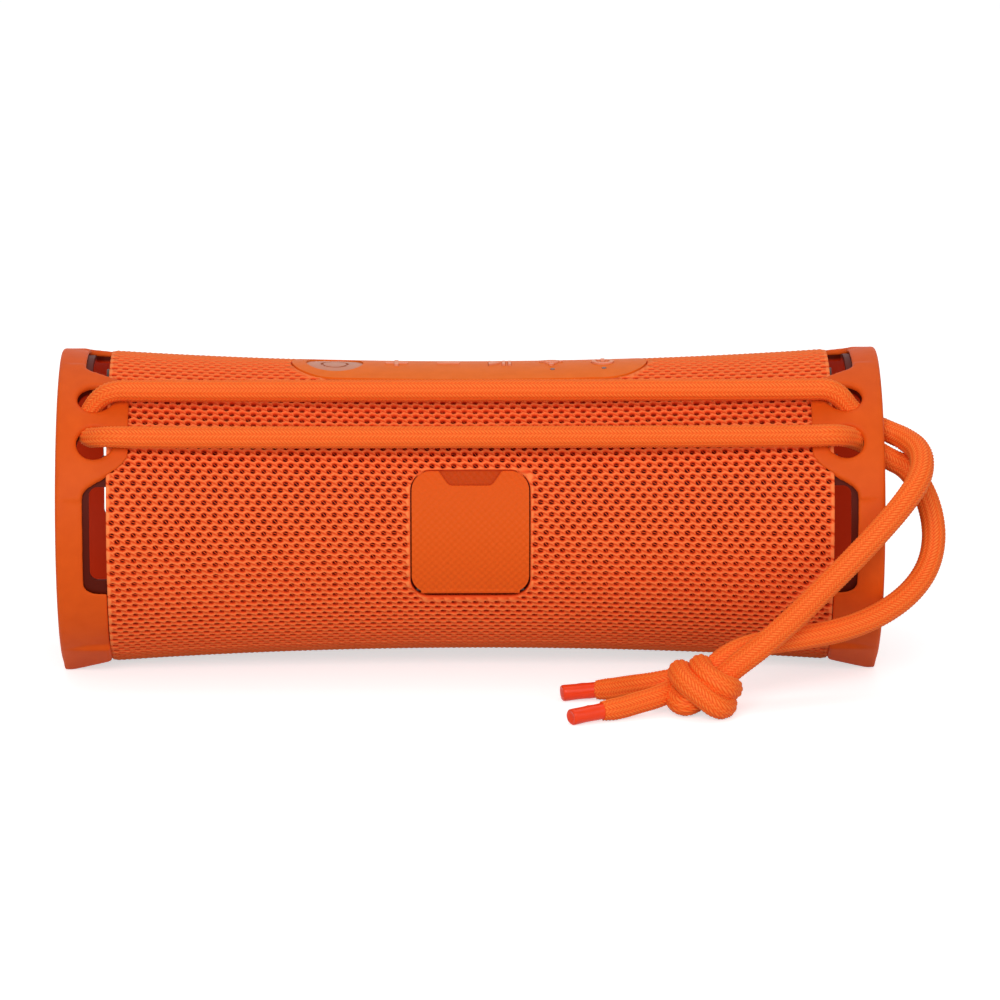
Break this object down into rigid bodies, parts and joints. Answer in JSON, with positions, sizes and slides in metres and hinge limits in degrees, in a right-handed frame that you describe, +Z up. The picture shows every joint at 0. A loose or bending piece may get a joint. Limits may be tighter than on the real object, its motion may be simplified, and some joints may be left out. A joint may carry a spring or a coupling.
{
  "type": "portable bluetooth speaker",
  "caption": "Cylindrical portable speaker with a waisted mesh body, rubber end rings, top control strip, hinged port cover and a knotted braided carry cord.",
  "frame": {"origin": "on the surface it stands on, under the middle of the body", "axes": "+X along the body, -Y the rear with the port cover, +Y the driver side, +Z up"},
  "size_m": [0.2216, 0.113, 0.0795],
  "materials": {
    "mesh_fabric": "knitted mesh over a dark core",
    "orange_rubber": "satin moulded",
    "dark_frame": "matt moulded",
    "black_plastic": "fine moulded texture",
    "steel_screws": "zinc plated",
    "black_rubber": "satin",
    "orange_diaphragm": "satin moulded",
    "panel_rubber": "satin moulded",
    "key_rubber": "matt moulded",
    "symbol_rubber": "matt moulded",
    "circuit_board": "solder mask",
    "switch_metal": "pressed",
    "light_pipe": "clear moulded",
    "socket_metal": "nickel plated",
    "foam": "open foam",
    "magnet_metal": "black plated",
    "cone_metal": "anodised",
    "dome_fabric": "coated",
    "cell_wrap": "shrink wrap",
    "chip_plastic": "moulded",
    "cord_fabric": "round braid",
    "tip_plastic": "heat sealed"
  },
  "bodies": {
    "root": {"fabric_sleeve": "mesh_fabric", "right_bumper": "orange_rubber", "left_bumper": "orange_rubber", "right_bumper_frame": "dark_frame", "left_bumper_frame": "dark_frame", "rear_housing": "black_plastic", "front_grille": "black_plastic", "right_end_plate": "black_plastic", "left_end_plate": "black_plastic", "end_screws": "steel_screws", "housing_screws": "steel_screws", "right_radiator_frame": "black_plastic", "left_radiator_frame": "black_plastic", "right_radiator_surround": "black_rubber", "left_radiator_surround": "black_rubber", "control_panel": "panel_rubber", "key_board": "circuit_board", "key_switches": "switch_metal", "status_lights": "light_pipe", "port_hinge_pin": "steel_screws", "port_bay": "black_plastic", "usb_socket": "socket_metal", "usb_tongue": "black_plastic", "front_baffle": "black_plastic", "baffle_gasket": "foam", "woofer_basket": "black_plastic", "woofer_magnet": "magnet_metal", "woofer_surround": "black_rubber", "woofer_screws": "steel_screws", "tweeter_frame": "black_plastic", "tweeter_magnet": "magnet_metal", "battery_cells": "cell_wrap", "battery_tray": "black_plastic", "main_board": "circuit_board", "board_components": "chip_plastic", "board_screws": "steel_screws", "strap_span": "cord_fabric", "strap_loop_upper": "cord_fabric", "strap_loop_lower": "cord_fabric", "strap_knot": "cord_fabric", "strap_tail_upper": "cord_fabric", "strap_tail_lower": "cord_fabric", "strap_tips": "tip_plastic"},
    "bass_key": {"bass_key": "key_rubber"},
    "volume_up_key": {"volume_up_key": "symbol_rubber"},
    "volume_down_key": {"volume_down_key": "symbol_rubber"},
    "play_key": {"play_key": "symbol_rubber"},
    "pairing_key": {"pairing_key": "symbol_rubber"},
    "power_key": {"power_key": "symbol_rubber"},
    "port_cover": {"port_cover": "panel_rubber"},
    "right_radiator": {"right_radiator_diaphragm": "orange_diaphragm"},
    "left_radiator": {"left_radiator_diaphragm": "orange_diaphragm"},
    "woofer_cone": {"woofer_cone": "cone_metal"},
    "tweeter_dome": {"tweeter_dome": "dome_fabric"}
  },
  "joints": [
    {"name": "port_cover_hinge", "type": "hinge", "parent": "root", "child": "port_cover", "pos_m": [0, -0.03208, 0.025], "axis": [1, 0, 0], "range_deg": [0, 95]},
    {"name": "bass_key_press", "type": "slide", "parent": "root", "child": "bass_key", "axis": [0, 0, -1], "range_m": [0, 0.0004], "stiffness_N_per_m": 400},
    {"name": "volume_up_key_press", "type": "slide", "parent": "root", "child": "volume_up_key", "axis": [0, 0, -1], "range_m": [0, 0.0004], "stiffness_N_per_m": 400},
    {"name": "volume_down_key_press", "type": "slide", "parent": "root", "child": "volume_down_key", "axis": [0, 0, -1], "range_m": [0, 0.0004], "stiffness_N_per_m": 400},
    {"name": "play_key_press", "type": "slide", "parent": "root", "child": "play_key", "axis": [0, 0, -1], "range_m": [0, 0.0004], "stiffness_N_per_m": 400},
    {"name": "pairing_key_press", "type": "slide", "parent": "root", "child": "pairing_key", "axis": [0, 0, -1], "range_m": [0, 0.0004], "stiffness_N_per_m": 400},
    {"name": "power_key_press", "type": "slide", "parent": "root", "child": "power_key", "axis": [0, 0, -1], "range_m": [0, 0.0004], "stiffness_N_per_m": 400},
    {"name": "right_radiator_travel", "type": "slide", "parent": "root", "child": "right_radiator", "axis": [1, 0, 0], "range_m": [-0.0025, 0.0025], "stiffness_N_per_m": 900},
    {"name": "left_radiator_travel", "type": "slide", "parent": "root", "child": "left_radiator", "axis": [-1, 0, 0], "range_m": [-0.0025, 0.0025], "stiffness_N_per_m": 900},
    {"name": "woofer_travel", "type": "slide", "parent": "root", "child": "woofer_cone", "axis": [0, 1, 0], "range_m": [-0.002, 0.002], "stiffness_N_per_m": 1200},
    {"name": "tweeter_travel", "type": "slide", "parent": "root", "child": "tweeter_dome", "axis": [0, 1, 0], "range_m": [-0.00025, 0.00025], "stiffness_N_per_m": 1500}
  ]
}
